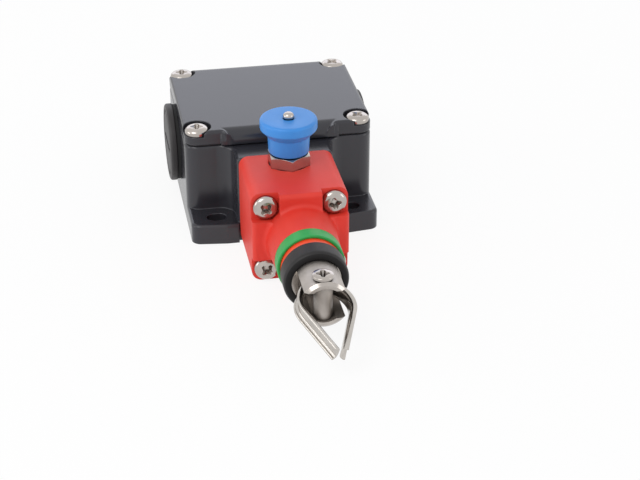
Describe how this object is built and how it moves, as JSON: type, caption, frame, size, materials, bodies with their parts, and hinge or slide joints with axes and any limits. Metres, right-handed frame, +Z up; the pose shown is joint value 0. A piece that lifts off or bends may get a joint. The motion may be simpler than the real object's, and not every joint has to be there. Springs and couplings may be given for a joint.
{
  "type": "rope pull switch",
  "caption": "Rope pull switch: black die-cast box with a red pull-rod head, blue pull-to-reset knob, coloured tension bands and a clevis with a steel rope thimble.",
  "frame": {"origin": "centre of the mounting slots, on the mounting plane", "axes": "+Z up from the mounting plane, -Y along the rope's pull, +X to the right seen from the rope"},
  "size_m": [0.0755, 0.1847, 0.0539],
  "materials": {
    "powder_coat_black": "fine satin powder coat on die-cast metal",
    "powder_coat_red": "satin red powder coat on die-cast metal",
    "moulded_black": "matt black moulding",
    "moulded_blue": "semi-gloss blue moulding",
    "moulded_green": "semi-gloss green moulding",
    "moulded_orange": "semi-gloss orange-red moulding",
    "moulded_ivory": "matt ivory thermoset moulding",
    "rubber_black": "matt black rubber",
    "steel_nickel": "nickel-plated steel",
    "steel_stainless": "rolled stainless steel sheet",
    "steel_spring": "drawn spring wire",
    "brass": "turned brass",
    "contact_silver": "silver-plated strip"
  },
  "bodies": {
    "housing": {"block_screws": "steel_nickel", "conduit_plug_left": "moulded_black", "conduit_plug_right": "moulded_black", "contact_block": "moulded_ivory", "contact_lid": "moulded_ivory", "cover": "powder_coat_black", "cover_gasket": "rubber_black", "cover_screws": "steel_nickel", "earth_clamp": "brass", "earth_screw": "steel_nickel", "fixed_contacts": "contact_silver", "front_bush": "brass", "head": "powder_coat_red", "head_gasket": "rubber_black", "head_screws": "steel_nickel", "housing": "powder_coat_black", "indicator_ring": "moulded_green", "plug_washers": "rubber_black", "plunger_spring": "steel_spring", "rear_bush": "brass", "reset_bush": "steel_nickel", "reset_seal": "rubber_black", "reset_spring": "steel_spring", "return_spring": "steel_spring", "rod_wiper": "rubber_black", "terminal_clamps": "steel_nickel", "terminal_screws": "steel_nickel"},
    "pull_rod": {"pull_rod": "steel_nickel", "indicator_sleeve": "moulded_orange", "end_cap": "moulded_black", "lock_nut": "steel_nickel", "clevis": "steel_nickel", "clevis_pin": "steel_nickel", "spring_collar": "brass", "cam_bar": "moulded_black"},
    "rope_thimble": {"rope_thimble": "steel_stainless"},
    "reset_knob": {"reset_knob": "moulded_blue", "reset_stem": "steel_nickel"},
    "contact_plunger": {"contact_plunger": "moulded_black", "contact_bridges": "contact_silver"}
  },
  "joints": [
    {"name": "rod_pull", "type": "slide", "parent": "housing", "child": "pull_rod", "axis": [0, -1, 0], "range_m": [0, 0.012], "stiffness_N_per_m": 3000, "springref_m": -0.008, "deforming": ["return_spring"]},
    {"name": "thimble_swing", "type": "hinge", "parent": "pull_rod", "child": "rope_thimble", "pos_m": [0, -0.1171, 0.0173], "axis": [0, 0, 1], "range_deg": [-30, 30]},
    {"name": "reset_pull", "type": "slide", "parent": "housing", "child": "reset_knob", "axis": [0, 0, 1], "range_m": [0, 0.005], "stiffness_N_per_m": 1200, "springref_m": -0.004, "deforming": ["reset_spring"]},
    {"name": "plunger_lift", "type": "slide", "parent": "housing", "child": "contact_plunger", "axis": [0, 0, 1], "range_m": [0, 0.004], "stiffness_N_per_m": 300, "springref_m": -0.003, "deforming": ["plunger_spring"]}
  ],
  "couplings": [
    {"joint": "plunger_lift", "follows": "rod_pull", "ratio": 0.33333}
  ]
}
